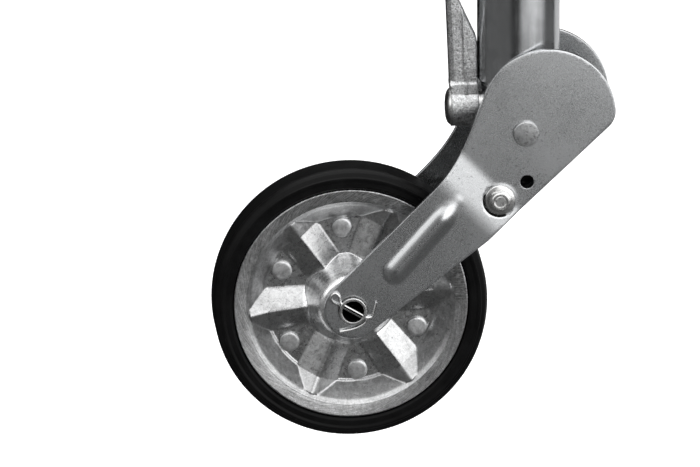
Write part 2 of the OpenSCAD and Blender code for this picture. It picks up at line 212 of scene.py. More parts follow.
class Surface(Nodes):
    """A Principled material built up from a few procedural layers."""

    def __init__(self, name, metallic, slot_name):
        self.material = bpy.data.materials.new(name)
        super().__init__(self.material)
        self.slot_name = slot_name
        self.shader = self.new("BsdfPrincipled")
        self.link(self.shader.outputs[0], self.new("OutputMaterial").inputs[0])
        self.shader.inputs["Metallic"].default_value = metallic
        self.coords = self.new("TexCoord").outputs["Object"]
        self.last_bump = None

    def polar_layout(self):
        """The piece's layout of U along the circle and V outwards, both in metres."""
        uv = self.new("UVMap")
        uv.uv_map = "polar"
        return uv.outputs[0]

    def beyond(self, polar, inner, outer):
        """Rises from 0 to 1 between two radii round the axle."""
        split = self.new("SeparateXYZ")
        self.link(polar, split.inputs[0])
        return self.span(split.outputs["Y"], 0.0, 1.0, inner * MM, outer * MM)

    def stretched(self, stretch, coords=None):
        mapping = self.new("Mapping")
        mapping.inputs["Scale"].default_value = stretch
        self.link(coords or self.coords, mapping.inputs["Vector"])
        return mapping.outputs[0]

    def noise(self, scale, detail=4, rough=0.55, stretch=(1, 1, 1), distortion=0, coords=None):
        tex = self.new("TexNoise")
        tex.inputs["Scale"].default_value = scale
        tex.inputs["Detail"].default_value = detail
        tex.inputs["Roughness"].default_value = rough
        tex.inputs["Distortion"].default_value = distortion
        self.link(self.stretched(stretch, coords), tex.inputs["Vector"])
        return tex.outputs["Fac"]

    def crystals(self, scale, stretch):
        tex = self.new("TexVoronoi")
        tex.inputs["Scale"].default_value = scale
        self.link(self.stretched(stretch), tex.inputs["Vector"])
        return tex.outputs["Color"]

    def bore_shade(self, place, radius):
        """Painted shade: nearly black in and round a bore along Y, at a place round the axle, and 1
        everywhere else.
        """
        away = self.new("VectorMath")
        away.operation = "DISTANCE"
        away.inputs[1].default_value = ((axle[0] + place[0]) * MM, 0, (axle[2] + place[1]) * MM)
        self.link(self.stretched((1, 0, 1)), away.inputs[0])
        return self.span(away.outputs["Value"], 0.03, 1.0, radius * MM, (radius + 0.2) * MM)

    def colour(self, tint, value):
        """Base colour: a tint times a grey value."""
        node = self.new("Mix")
        node.data_type = "RGBA"
        node.blend_type = "MULTIPLY"
        node.inputs["Factor"].default_value = 1
        node.inputs["A"].default_value = (*tint, 1)
        self.link(value, node.inputs["B"])
        self.link(node.outputs["Result"], self.shader.inputs["Base Color"])

    def roughness(self, value):
        self.link(value, self.shader.inputs["Roughness"])

    def sheen(self, level):
        """Strength of the mirror reflection on a surface that isn't metal."""
        self.shader.inputs["Specular IOR Level"].default_value = level

    def bump(self, height, strength, depth):
        """Adds a layer of bumps, depth millimetres high, over those before it."""
        node = self.new("Bump")
        node.inputs["Strength"].default_value = strength
        node.inputs["Distance"].default_value = depth * MM
        self.link(height, node.inputs["Height"])
        if self.last_bump is not None:
            self.link(self.last_bump, node.inputs["Normal"])
        self.last_bump = node.outputs[0]
        self.link(self.last_bump, self.shader.inputs["Normal"])


def fork_zinc():
    """Zinc-coated sheet: soft blotches, fine sandy grain, dark specks and faint scratches."""
    s = Surface("fork_zinc", 1.0, "fork_steel")
    blotch = s.noise(20, 4, 0.5)
    grain = s.noise(1100, 4, 0.75)
    specks = s.ramp(s.noise(560, 2, 0.6), (0.30, 0.55), (0.40, 1.0))
    patches = s.span(s.noise(34, 3), 0.0, 1.0, 0.45, 0.62)
    seldom = s.total(s.product(specks, patches), s.rest_of(patches))
    scratch = s.ramp(s.noise(90, 3, 0.6, (1, 1, 9), 0.6), (0.30, 1.12), (0.36, 1.0))
    tone = s.product(s.span(blotch, 0.95, 1.03), s.span(grain, 0.86, 1.1), seldom, scratch)
    s.colour((0.64, 0.65, 0.66), tone)
    s.roughness(s.total(s.span(blotch, 0.25, 0.29), s.span(grain, -0.03, 0.04)))
    s.bump(grain, 0.2, 0.14)
    s.bump(blotch, 0.08, 0.4)
    return s


def galvanised():
    """Hot-dip galvanised tube: spangle, drawn streaks along the tube and rubbed scratches, with painted shade
    round the lock hole.
    """
    s = Surface("galvanised", 1.0, "galvanised")
    spangle = s.crystals(110, (1, 1, 0.7))
    streak = s.noise(150, 4, 0.6, (1, 1, 0.06))
    blotch = s.noise(30, 5, 0.6)
    marks = s.ramp(s.noise(240, 5, 0.75, (1, 1, 0.35), 1.5), (0.30, 1.35), (0.37, 1.0))
    facets = s.span(spangle, 0.95, 1.03, 0.0, 1.0)
    # Painted shade: the tube's colour goes nearly black in and round the lock hole
    unlit = s.bore_shade(LOCK_HOLE, 7.4)
    tone = s.product(s.span(blotch, 0.88, 1.05), s.span(streak, 0.93, 1.05), facets, marks, unlit)
    s.colour((0.54, 0.55, 0.56), tone)
    s.roughness(s.total(s.span(spangle, 0.17, 0.24, 0.0, 1.0), s.span(streak, -0.03, 0.05)))
    s.bump(streak, 0.12, 0.15)
    s.bump(blotch, 0.1, 0.4)
    return s


def rim_zinc():
    """Pressed rim: forming rings, a flange rubbed bright in radial strokes, and softly mottled zinc."""
    s = Surface("rim_zinc", 1.0, "rim_steel")
    polar = s.polar_layout()
    rings = s.noise(260, 4, 0.65, (0.16, 3.0, 1), 0.4, polar)
    brushed = s.noise(560, 4, 0.75, (1.5, 0.34, 1), 0.3, polar)
    mottle = s.noise(250, 6, 0.8, distortion=0.8)
    cloud = s.noise(32, 4, 0.6)
    fine = s.noise(900, 3, 0.7)
    specks = s.ramp(s.noise(560, 2, 0.6), (0.26, 0.42), (0.34, 1.0))
    on_flange = s.beyond(polar, LIP_R, LIP_R + 1.5)
    on_barrel = s.beyond(polar, WEB_R - 0.7, WEB_R + 1.3)
    on_dome = s.rest_of(s.beyond(polar, DOME_FOOT - 1.5, DOME_FOOT + 1.0))
    formed = s.product(s.span(rings, -0.3, 0.3), on_dome)
    strokes = s.total(s.rest_of(on_flange), s.product(s.span(brushed, 0.45, 1.45, 0.36, 0.64), on_flange))
    shade = s.total(s.product(on_flange, 0.06), s.product(on_dome, 0.42), formed, 0.57)
    grime = s.product(s.span(cloud, 0.85, 1.08), s.span(mottle, 0.62, 1.3), s.span(fine, 0.82, 1.14))
    s.colour((0.99, 0.995, 1.0), s.product(grime, specks, strokes, shade))
    s.roughness(s.total(s.span(mottle, 0.22, 0.36), s.product(on_barrel, 0.05)))
    s.bump(rings, 0.3, 0.2)
    s.bump(s.product(brushed, on_flange), 0.4, 0.2)
    s.bump(mottle, 0.45, 0.25)
    return s


def bright_zinc():
    """Electroplated small parts: smooth, with turning marks and a little dulling."""
    s = Surface("bright_zinc", 1.0, "zinc")
    cloud = s.noise(160, 4, 0.6)
    fine = s.noise(1600, 3, 0.6)
    s.colour((0.78, 0.78, 0.775), s.product(s.span(cloud, 0.82, 1.06), s.span(fine, 0.94, 1.05)))
    s.roughness(s.span(cloud, 0.2, 0.34))
    s.bump(fine, 0.1, 0.06)
    s.bump(cloud, 0.18, 0.2)
    return s


def bearing_steel():
    """Ground and oiled steel."""
    s = Surface("bearing_steel", 1.0, "bearing_steel")
    film = s.noise(90, 4, 0.6)
    turned = s.noise(420, 3, 0.6, (1, 1, 4))
    s.colour((0.50, 0.495, 0.485), s.product(s.span(film, 0.8, 1.05), s.span(turned, 0.94, 1.05)))
    s.roughness(s.span(film, 0.18, 0.32))
    s.bump(turned, 0.1, 0.08)
    return s


def forged_steel():
    """Rough drop-forged lever under dull zinc: pitted, grainy skin."""
    s = Surface("forged_steel", 1.0, "forged_steel")
    grain = s.noise(820, 4, 0.8)
    lumps = s.noise(170, 4, 0.6)
    pits = s.ramp(s.noise(430, 3, 0.65), (0.30, 0.45), (0.42, 1.0))
    s.colour((0.70, 0.705, 0.71), s.product(s.span(grain, 0.2, 1.5), s.span(lumps, 0.85, 1.08), pits))
    s.roughness(s.span(grain, 0.24, 0.38))
    s.bump(grain, 0.7, 0.6)
    s.bump(lumps, 0.5, 0.8)
    return s


def brass():
    """Tarnished brass."""
    s = Surface("brass", 1.0, "brass")
    tarnish = s.noise(130, 4, 0.6)
    s.colour((0.78, 0.58, 0.26), s.span(tarnish, 0.75, 1.05))
    s.roughness(s.span(tarnish, 0.22, 0.4))
    s.bump(s.noise(900, 3), 0.1, 0.08)
    return s


def black_plastic():
    """Plastic with a spark-eroded moulding texture."""
    s = Surface("black_plastic", 0.0, "black_plastic")
    skin = s.noise(900, 3, 0.6)
    handling = s.noise(40, 4, 0.6)
    s.colour((0.022, 0.022, 0.023), s.span(handling, 0.8, 1.25))
    s.roughness(s.span(handling, 0.42, 0.6))
    s.bump(skin, 0.35, 0.12)
    return s


def nylon():
    """Cloudy natural nylon."""
    s = Surface("nylon", 0.0, "nylon")
    cloud = s.noise(80, 4, 0.6)
    s.colour((0.62, 0.61, 0.57), s.span(cloud, 0.85, 1.05))
    s.roughness(s.span(cloud, 0.38, 0.52))
    s.bump(s.noise(700, 3), 0.12, 0.08)
    return s


def rubber():
    """Solid tyre: moulded rings round the wall, a dusty bloom and a fine matt skin."""
    s = Surface("rubber", 0.0, "tyre")
    rings = s.noise(240, 3, 0.6, (0.05, 2.6, 1), 0.0, s.polar_layout())
    bloom = s.noise(55, 5, 0.65)
    skin = s.noise(1300, 3, 0.6)
    s.colour((0.0025, 0.0025, 0.0026), s.product(s.span(bloom, 0.7, 1.45), s.span(skin, 0.9, 1.1)))
    s.roughness(s.span(bloom, 0.30, 0.44))
    s.sheen(0.09)
    s.bump(rings, 0.15, 0.25)
    s.bump(skin, 0.3, 0.1)
    return s


def rivet_zinc():
    """Rivet heads of the wheel, paler than the sheet and marked by the tool that closed them."""
    s = Surface("rivet_zinc", 1.0, "rim_steel")
    dents = s.noise(330, 4, 0.7)
    fine = s.noise(900, 3, 0.7)
    s.colour((0.78, 0.785, 0.79), s.product(s.span(dents, 0.75, 1.2), s.span(fine, 0.88, 1.1)))
    s.roughness(s.span(dents, 0.32, 0.46))
    s.bump(dents, 0.4, 0.2)
    return s


def struck_zinc():
    """Flat head of the pivot rivet, darkened and pocked where the closing tool struck it."""
    s = Surface("struck_zinc", 1.0, "fork_steel")
    pocks = s.noise(420, 4, 0.7)
    fine = s.noise(1100, 3, 0.7)
    s.colour((0.52, 0.525, 0.53), s.product(s.span(pocks, 0.75, 1.25), s.span(fine, 0.88, 1.1)))
    s.roughness(s.span(pocks, 0.24, 0.36))
    s.bump(pocks, 0.5, 0.25)
    return s


def painted_shade_black():
    """Painted shade: near-black and a little smeared, for the hollow axle's bore and the fork's crevices."""
    s = Surface("painted_shade_black", 0.0, "zinc")
    smear = s.noise(140, 4, 0.6)
    s.colour((0.008, 0.008, 0.008), s.span(smear, 0.5, 1.6))
    s.roughness(s.span(smear, 0.5, 0.75))
    s.sheen(0.05)
    s.bump(smear, 0.3, 0.3)
    return s


# Near-black painted shade for the hollow axle's bore and the fork's crevices
SHADE_BLACK = painted_shade_black().material
RIVET = rivet_zinc().material
STRUCK = struck_zinc().material
SLOTS = {
    surface.slot_name: surface.material
    for surface in (galvanised(), fork_zinc(), rim_zinc(), bright_zinc(), bearing_steel(), forged_steel(),
                    brass(), black_plastic(), nylon(), rubber())
}


def dress_cad_nodes():
    """Every CAD node takes its record slot's material, and a fine bevel on its edges."""
    slots = {part["node"]: part["material_slot"] for part in frame["record"]["subparts"]}
    for name, node in frame["nodes"].items():
        node.data.materials.clear()
        node.data.materials.append(SLOTS[slots[name]])
        bevel = node.modifiers.new("edges", "BEVEL")
        bevel.width = 0.35 * MM
        bevel.segments = 2
        bevel.limit_method = "ANGLE"
        bevel.angle_limit = math.radians(40)


# ---------- mesh helpers ----------

def mesh_piece(name, verts, faces, slot_name, body, nodes, sharp, polar=None):
    """Makes a piece from vertices in millimetres. polar gives each vertex's (along, out) in millimetres."""
    mesh = bpy.data.meshes.new(name)
    mesh.from_pydata([tuple(v) for v in np.asarray(verts) * MM], [], [tuple(f) for f in faces])
    mesh.validate()
    mesh.update()
    mesh.shade_smooth()
    mesh.set_sharp_from_angle(angle=math.radians(sharp))
    if polar is not None:
        layer = mesh.uv_layers.new(name="polar")
        for loop in mesh.loops:
            layer.data[loop.index].uv = polar[loop.vertex_index] * MM
    mesh.materials.append(SLOTS[slot_name])
    piece = bpy.data.objects.new(name, mesh)
    bpy.context.scene.collection.objects.link(piece)
    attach(piece, body)
    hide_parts(*nodes)
    return piece


def clean(piece):
    """Joins doubled vertices, drops loose ones and turns every face outwards."""
    bm = bmesh.new()
    bm.from_mesh(piece.data)
    bmesh.ops.remove_doubles(bm, verts=bm.verts, dist=1e-7)
    bmesh.ops.delete(bm, geom=[v for v in bm.verts if not v.link_faces], context="VERTS")
    bmesh.ops.recalc_face_normals(bm, faces=bm.faces)
    bm.to_mesh(piece.data)
    bm.free()


def paint_shade(piece, chosen):
    """Gives the chosen faces the near-black of painted shade, as in an unlit bore."""
    piece.data.materials.append(SHADE_BLACK)
    for face in piece.data.polygons:
        if chosen(face):
            face.material_index = len(piece.data.materials) - 1


def away_from(place, face):
    """How far a face's centre lies from a place round the axle, seen from the side."""
    return math.hypot(face.center.x / MM - axle[0] - place[0], face.center.z / MM - axle[2] - place[1])


def grid_faces(rows, columns, wrap_columns, wrap_rows=False):
    """Quads of a grid of vertices, row by row."""
    faces = []
    for i in range(rows if wrap_rows else rows - 1):
        for j in range(columns if wrap_columns else columns - 1):
            next_i, next_j = (i + 1) % rows, (j + 1) % columns
            corners = (i, j), (i, next_j), (next_i, next_j), (next_i, j)
            faces.append(tuple(row * columns + column for row, column in corners))
    return faces


def smoothstep(x, low, high):
    t = np.clip((x - low) / (high - low), 0, 1)
    return t * t * (3 - 2 * t)


def soft_max(a, b, blend):
    """Larger of two heights, with a rounded join."""
    h = np.clip(0.5 + 0.5 * (a - b) / blend, 0, 1)
    return b + (a - b) * h + blend * h * (1 - h)


def soft_min(a, b, blend):
    return -soft_max(-a, -b, blend)


def read_off(pairs, at):
    """Straight-line reading between (place, value) pairs."""
    places, values = zip(*pairs)
    return float(np.interp(at, places, values))


def rounded(corners, steps=5):
    """Closed outline from (point, radius) corners, each one rounded by a curve unless its radius is 0."""
    out = []
    for i, (point, radius) in enumerate(corners):
        p = np.array(point, float)
        if radius == 0:
            out.append(p)
            continue
        before = np.array(corners[i - 1][0], float) - p
        after = np.array(corners[(i + 1) % len(corners)][0], float) - p
        len_a, len_b = np.linalg.norm(before), np.linalg.norm(after)
        before, after = before / len_a, after / len_b
        half = math.acos(np.clip(before @ after, -1, 1)) / 2
        cut = min(radius / math.tan(half), 0.45 * len_a, 0.45 * len_b)
        for t in np.linspace(0, 1, steps + 1):
            out.append((1 - t) ** 2 * (p + before * cut) + 2 * t * (1 - t) * p + t * t * (p + after * cut))
    return np.array(out)


def lathe(name, profile, centre, axis, slot_name, body, nodes, steps, sharp, with_polar=False):
    """Turned ring: profile is a closed outline of (radius, along), and axis is 'x' or 'y'."""
    verts, polar = [], []
    run = np.concatenate([[0], np.cumsum(np.linalg.norm(np.diff(profile, axis=0), axis=1))])
    for (r, along), out in zip(profile, run):
        for a in np.arange(steps) * TURN / steps:
            c, s = r * math.cos(a), r * math.sin(a)
            place = (along, c, s) if axis == "x" else (c, along, s)
            verts.append(np.array(place) + centre)
            polar.append(np.array([a * r, out]))
    faces = grid_faces(len(profile), steps, True, True)
    piece = mesh_piece(name, verts, faces, slot_name, body, nodes, sharp, polar if with_polar else None)
    clean(piece)
    return piece


# ---------- rim ----------

def rib_height(r, angle):
    """Tent-shaped rib, whose ridge climbs to the flange at its outer end."""
    pitch = TURN / 6
    from_rib = (angle - math.radians(RIB_AT) + pitch / 2) % pitch - pitch / 2
    across = r * np.sin(from_rib)
    along = r * np.cos(from_rib)
    half_width = RIB_HALF + RIB_WIDENS * (along - RIB_FROM)
    end_height = SHEET + RIB_SLOPE * (RIB_HALF + RIB_WIDENS * (RIB_TO - RIB_FROM))
    end_rise = (FLANGE_Y - end_height) / (RIB_TO - RIB_KNEE)
    ridge = SHEET + RIB_SLOPE * half_width + end_rise * np.maximum(along - RIB_KNEE, 0)
    ridge = ridge - 3 * np.maximum(r - RIB_TO, 0)
    return ridge - RIB_SLOPE * (np.sqrt(across ** 2 + RIB_CREST ** 2) - RIB_CREST)


def rim_height(r, angle):
    """Height of the pressed rim over its middle plane, at a radius and an angle round the axle."""
    dome = SHEET + (dome_y - SHEET) * (DOME_FOOT - r) / (DOME_FOOT - DOME_TOP)
    dome = soft_min(dome, dome_y, 9.0)
    barrel = SHEET + (FLANGE_Y - SHEET) * (r - WEB_R) / (LIP_R - WEB_R)
    barrel = soft_min(barrel, FLANGE_Y, 3.4)
    step = smoothstep(r, WEB_R - 1.6, WEB_R - 0.9) * (1 - smoothstep(r, WEB_R + 0.2, WEB_R + 1.2))
    height = soft_max(SHEET + 0.35 * step, rib_height(r, angle), 0.7)
    height = soft_max(height, barrel, 1.1)
    height = soft_max(height, dome, 1.2)
    raised_lip = 0.3 * np.exp(-((r - LIP_R - 0.9) / 0.65) ** 2)
    return height + raised_lip + FLANGE_TILT * np.maximum(r - LIP_R, 0)


def rim_half(name, side, node):
    """One pressed half. Its outer skin is a grid, and its inner skin lies a sheet's thickness behind."""
    bore, curl_r, seam, hollow_r = 13.2, 0.9, 0.15, 50.0
    edge = rim_r - curl_r
    # Rows lie closer together where the sheet bends
    radii = np.concatenate([
        np.linspace(bore, 21, 6), np.linspace(21.6, 37, 44), np.linspace(37.6, 59, 34),
        np.linspace(59.4, 80, 52), np.linspace(80.8, edge, 8),
    ])
    count = 900
    angles = np.linspace(0, TURN, count, endpoint=False)
    r, a = np.meshgrid(radii, angles, indexing="ij")
    dents = np.sin(3 * a + 1.0) * np.sin(0.21 * r + 2) * 0.10 + np.sin(7 * a + 0.13 * r) * 0.05
    height = rim_height(r, a) + dents * smoothstep(r, 40, 60)
    edge_y = FLANGE_Y + FLANGE_TILT * (edge - LIP_R)
    turned_edge = [
        (edge + curl_r * math.sin(t), edge_y - curl_r + curl_r * math.cos(t))
        for t in np.linspace(0.3, math.pi / 2, 5)
    ]
    under_ribs = np.maximum(seam, rim_height(hollow_r, angles) - SHEET)
    back = [
        (edge + curl_r, FLANGE_Y - 1.7), (edge + 0.4, FLANGE_Y - SHEET), (79, FLANGE_Y - SHEET),
        (LIP_R - 1.5, FLANGE_Y - SHEET), (WEB_R - 1.5, seam), (hollow_r, under_ribs),
        (DOME_FOOT - 2.5, seam), (DOME_TOP - 2, dome_y - SHEET), (bore, dome_y - SHEET),
    ]
    rows_r = np.array([*r, *[np.full(count, radius) for radius, _ in turned_edge + back]])
    rows_y = np.array([*height, *[np.full(count, y) for _, y in turned_edge + back]])
    x = axle[0] + rows_r * np.cos(angles)
    z = axle[2] + rows_r * np.sin(angles)
    verts = np.stack([x, side * rows_y, z], axis=-1).reshape(-1, 3)
    polar = np.stack([rows_r * angles, rows_r], axis=-1).reshape(-1, 2)
    faces = grid_faces(len(rows_r), count, True, True)
    if side > 0:
        faces = [f[::-1] for f in faces]
    mesh_piece(name, verts, faces, "rim_steel", "wheel", [node], 50, polar)


def rim_rivets():
    """Twelve flat rivet heads, slightly crowned and each one leaning a little its own way."""
    crown, foot = 2.55, -0.2
    rows = [(5.0, 2.53), (6.7, 2.44), (7.05, 2.25), (7.22, 1.85), (7.25, 0.2), (6.8, foot)]
    steps = 40
    verts, faces = [], []
    for side in (-1, 1):
        for k in range(6):
            at = math.radians(RIVETS_AT + 60 * k)
            centre = np.array([axle[0] + RIVET_RING * math.cos(at), 0, axle[2] + RIVET_RING * math.sin(at)])
            lean = rng.uniform(-0.02, 0.02, 2)
            start = len(verts)
            verts.append(centre + [0, side * (SHEET + crown), 0])
            for radius, up in rows:
                for t in np.arange(steps) * TURN / steps:
                    dx, dz = radius * math.cos(t), radius * math.sin(t)
                    rise = SHEET + up + lean[0] * dx + lean[1] * dz
                    verts.append(centre + [dx, side * rise, dz])
            faces += [(start, start + 1 + (j + 1) % steps, start + 1 + j) for j in range(steps)]
            faces += [tuple(start + 1 + v for v in quad) for quad in grid_faces(len(rows), steps, True)]
            last = start + 1 + (len(rows) - 1) * steps
            faces.append(tuple(range(last, last + steps)))
    piece = mesh_piece("rim_rivet_heads", verts, faces, "rim_steel", "wheel", ["rim_rivets"], 40)
    piece.data.materials[0] = RIVET
    clean(piece)


# ---------- tyre ----------

def tyre():
    """Solid rubber tyre with a raised moulding line at the shoulder."""
    wall = tyre_half - 0.3
    half = [
        ((62.6, 1.0), 0), ((LIP_R - 0.9, FLANGE_Y - 2.9), 1), ((rim_r + 0.3, FLANGE_Y - 2.9), 0.3),
        ((rim_r + 0.8, wall - 1.6), 0.6), ((rim_r + 2.4, wall - 0.25), 1.2),
        ((wheel_r - 8.2, wall - 0.45), 1.5), ((wheel_r - 6.6, wall + 0.25), 0.4),
        ((wheel_r - 5.2, wall + 0.3), 0.4), ((wheel_r - 4.5, wall - 0.9), 0.5),
        ((wheel_r - 2.0, wall - 2.6), 1.2), ((wheel_r - 0.5, wall - 5.2), 1.5), ((wheel_r, wall - 8.4), 2),
    ]
    other_half = [((r, -y), radius) for (r, y), radius in reversed(half)]
    lathe("rubber_tyre", rounded(half + other_half, 4), axle, "y", "tyre", "wheel", ["tyre"], 256, 40, True)


# ---------- fork plates ----------

def arc_points(centre, radius, start, end, step=3.0):
    count = max(2, int(abs(end - start) / step))
    angles = np.radians(np.linspace(start, end, count + 1))
    return np.array(centre) + radius * np.stack([np.cos(angles), np.sin(angles)], axis=-1)


def plate_outline():
    """Side outline of a fork plate, anticlockwise, as in the CAD."""
    slant = 43.5
    edge = math.radians(slant)
    along = np.array([math.cos(edge), math.sin(edge)])
    down = np.array([math.sin(edge), -math.cos(edge)])
    inward = (EDGE_KNEE - LOBE_C) @ down - CORNER_R
    out = math.sqrt((LOBE_R - CORNER_R) ** 2 - inward ** 2)
    corner = LOBE_C + inward * down + out * along
    corner_top = math.degrees(math.atan2(corner[1] - LOBE_C[1], corner[0] - LOBE_C[0]))
    # The upper edge sweeps from the arm, which rises at 45 degrees, into the lobe
    sweep_r = 120
    sweep_c = np.array([57.4, 87.1]) + sweep_r * np.array([-math.sin(math.pi / 4), math.cos(math.pi / 4)])
    return np.concatenate([
        arc_points((0, 0), 21, 135, 307), [EDGE_KNEE], arc_points(corner, CORNER_R, slant - 90, corner_top),
        arc_points(LOBE_C, LOBE_R, corner_top, 160), arc_points(sweep_c, sweep_r, 338, 315),
    ])


def evenly(points, spacing):
    """The same closed outline with extra points, no further apart than spacing."""
    out = []
    for p, q in zip(points, np.roll(points, -1, axis=0)):
        length = np.linalg.norm(q - p)
        if length < 0.05:
            continue
        parts = max(1, math.ceil(length / spacing))
        out += [p + (q - p) * k / parts for k in range(parts)]
    return np.array(out)


def circle(centre, radius, backwards=False):
    """Closed circle, clockwise if backwards, so that inset() widens it."""
    start, end = (360, 0) if backwards else (0, 360)
    return evenly(arc_points(centre, radius, start, end, 6)[:-1], 2.5)


def distance_to(outline, points):
    """Distance of each point to a closed outline."""
    best = np.full(len(points), np.inf)
    for p, q in zip(outline, np.roll(outline, -1, axis=0)):
        d = q - p
        t = np.clip(((points - p) @ d) / (d @ d), 0, 1)
        best = np.minimum(best, np.linalg.norm(points - (p + t[:, None] * d), axis=1))
    return best


def inside(outline, points):
    """Which points are inside a closed outline."""
    result = np.zeros(len(points), bool)
    for (x0, y0), (x1, y1) in zip(outline, np.roll(outline, -1, axis=0)):
        if y0 == y1:
            continue
        crosses = (y0 > points[:, 1]) != (y1 > points[:, 1])
        result ^= crosses & (points[:, 0] < (x1 - x0) * (points[:, 1] - y0) / (y1 - y0) + x0)
    return result


def inset(outline, by):
    """The outline moved inwards along its corners' normals (anticlockwise outline)."""
    before, after = np.roll(outline, 1, axis=0), np.roll(outline, -1, axis=0)
    tangent = after - before
    tangent = tangent / np.linalg.norm(tangent, axis=1)[:, None]
    return outline + by * np.stack([-tangent[:, 1], tangent[:, 0]], axis=-1)


def from_holes(points):
    """Distance of each point to the nearest hole's edge, negative inside the hole."""
    return np.min([np.linalg.norm(points - c, axis=1) - r for c, r in HOLES], axis=0)


def from_bolt(points):
    return np.linalg.norm(points - BOLT_AT, axis=1)


def set_in_share(points):
    """Share of the flare between arm and lobe that each point has passed, with rounded ends."""
    low, high = 113.0, 138.0
    along_arm = (points[:, 0] + points[:, 1]) / math.sqrt(2)
    passed = (along_arm - low) / (high - low)
    passed = soft_max(passed, 0, 6.0 / (high - low))
    return soft_min(passed, 1, 3.0 / (high - low))


def plate_face(points):
    """Depth |Y| of the plate's outer face: the flare between arm and lobe, and the pressed bead."""
    face = ARM_OUT - SET_OUT * set_in_share(points)
    a, b = BEAD
    t = np.clip(((points - a) @ (b - a)) / ((b - a) @ (b - a)), 0, 1)
    away = np.linalg.norm(points - (a + t[:, None] * (b - a)), axis=1)
    # Round-backed bead with a soft foot, which runs out into the flare
    back_r, proud = 10.0, 4.0
    back = np.sqrt(np.maximum(back_r ** 2 - away ** 2, 0.2)) - (back_r - proud)
    return soft_max(face, ARM_OUT + back - 4.6 * smoothstep(t, 0.74, 1.04), 2.0)


def plate_mesh_points(outline):
    """Points of the flat plate with the loops that its triangles must follow."""
    loops = [
        inset(rim, by)
        for rim in [outline] + [circle(c, r, backwards=True) for c, r in HOLES]
        for by in (0, 0.1, HOLE_EDGE, PLATE_EDGE)
    ]
    seat_r = sum(SEAT_WALL) / 2
    loops += [circle(BOLT_AT, r) for r in (SEAT_WALL[0], seat_r, SEAT_WALL[1])]
    # Field points on a slanted grid that runs along the arm
    spacing = 1.6
    u, v = np.meshgrid(np.arange(-24, 280, spacing), np.arange(-110, 110, spacing), indexing="ij")
    field = np.stack([(u - v) / math.sqrt(2), (u + v) / math.sqrt(2)], axis=-1).reshape(-1, 2)
    keep = inside(outline, field) & (distance_to(outline, field) > PLATE_EDGE + 0.7)
    keep &= from_holes(field) > PLATE_EDGE + 0.8
    keep &= np.abs(from_bolt(field) - seat_r) > 1.3
    points, constraints = [], []
    for loop in loops:
        start, count = len(points), len(loop)
        points += [Vector(p) for p in loop]
        constraints += [(start + k, start + (k + 1) % count) for k in range(count)]
    points += [Vector(p) for p in field[keep]]
    return points, constraints


def plate_triangles(outline):
    """The flat plate's points and triangles, with its holes left open."""
    points, constraints = plate_mesh_points(outline)
    flat, _, triangles, _, _, _ = delaunay_2d_cdt(points, constraints, [], 0, 1e-4)
    flat = np.array([tuple(p) for p in flat])
    centres = np.array([flat[list(t)].mean(axis=0) for t in triangles])
    kept = inside(outline, centres) & (from_holes(centres) > -0.02)
    return flat, [t for t, keep in zip(triangles, kept) if keep]


def edge_drop(flat, outline):
    """How far the outer face falls away in the rounding along the outline and round the holes."""
    hole_away = from_holes(flat)
    away = np.minimum(distance_to(outline, flat), np.abs(hole_away))
    radius = np.where(hole_away < PLATE_EDGE, HOLE_EDGE, PLATE_EDGE)
    return radius - np.sqrt(radius ** 2 - np.clip(radius - away, 0, radius) ** 2)


def fork_plate(name, side, node):
    """Fork plate with its flare, pressed bead, nut seat, holes and rounded edges."""
    outline = evenly(plate_outline(), 1.5)
    flat, triangles = plate_triangles(outline)
    depth = plate_face(flat)
    drop = edge_drop(flat, outline)
    seated = 1 - smoothstep(from_bolt(flat), *SEAT_WALL)
    front = depth + (NUT_SEAT - depth) * seated - drop
    rear = depth - PLATE + drop * 0.6
    count = len(flat)
    verts = np.concatenate([
        np.stack([flat[:, 0] + axle[0], side * y, flat[:, 1] + axle[2]], axis=-1)
        for y in (front, rear)
    ])
    faces = [tuple(t) for t in triangles] + [tuple(count + v for v in reversed(t)) for t in triangles]
    sides = dict.fromkeys(pair for t in triangles for pair in zip(t, (*t[1:], t[0])))
    faces += [(q, p, count + p, count + q) for p, q in sides if (q, p) not in sides]
    piece = mesh_piece(name, verts, faces, "fork_steel", "fork", [node], 50)
    clean(piece)

    def gets_painted_shade(face):
        """Faces that get painted shade: the lock hole's wall, and the steep side of the nut's seat."""
        on_front = side * face.center.y > (NUT_SEAT - 0.6) * MM
        at_seat = SEAT_WALL[0] - 0.3 < away_from(BOLT_AT, face) < SEAT_WALL[1] + 0.3
        steep = abs(face.normal.y) < 0.8
        return away_from(LOCK_HOLE, face) < LOCK_HOLE_R + 0.02 or (on_front and at_seat and steep)

    # Painted shade: the lock hole's wall and the steep side of the nut seat are painted near-black
    paint_shade(piece, gets_painted_shade)


# ---------- fork fasteners and axle ----------

def pivot_rivet():
    half = [
        ((0.02, -37.9), 0), ((8.8, -37.85), 0.3), ((9.2, -37.4), 0.3), ((9.2, -34.4), 0), ((7.0, -34.4), 0),
    ]
    other_half = [((r, -along), radius) for (r, along), radius in reversed(half)]
    piece = lathe("pivot_rivet_head", rounded(half + other_half), pivot, "y", "fork_steel", "fork",
                  ["pivot_rivet"], 96, 40)
    piece.data.materials[0] = STRUCK


HEX = "hexagon"


def hex_radius(angle):
    """Radius of the bolt's hexagon at an angle, with slightly rounded corners."""
    across_flats, turned = 15.0, 0.26
    t = (angle + turned + math.pi / 6) % (math.pi / 3) - math.pi / 6
    return across_flats / 2 / math.cos(t) * (1 - 0.06 * smoothstep(abs(t), 0.42, math.pi / 6))


def on_bolt_axis(name, rows, steps, node):
    """Closed ring on the cross bolt's axis. A row is (radius, Y), or (HEX, share of the hexagon, Y)."""
    verts = []
    for row in rows:
        for t in np.arange(steps) * TURN / steps:
            radius = hex_radius(t) * row[1] if row[0] is HEX else row[0]
            x, z = BOLT_AT[0] + radius * math.cos(t), BOLT_AT[1] + radius * math.sin(t)
            verts.append((axle[0] + x, row[-1], axle[2] + z))
    clean(mesh_piece(name, verts, grid_faces(len(rows), steps, True, True), "zinc", "fork", [node], 28))


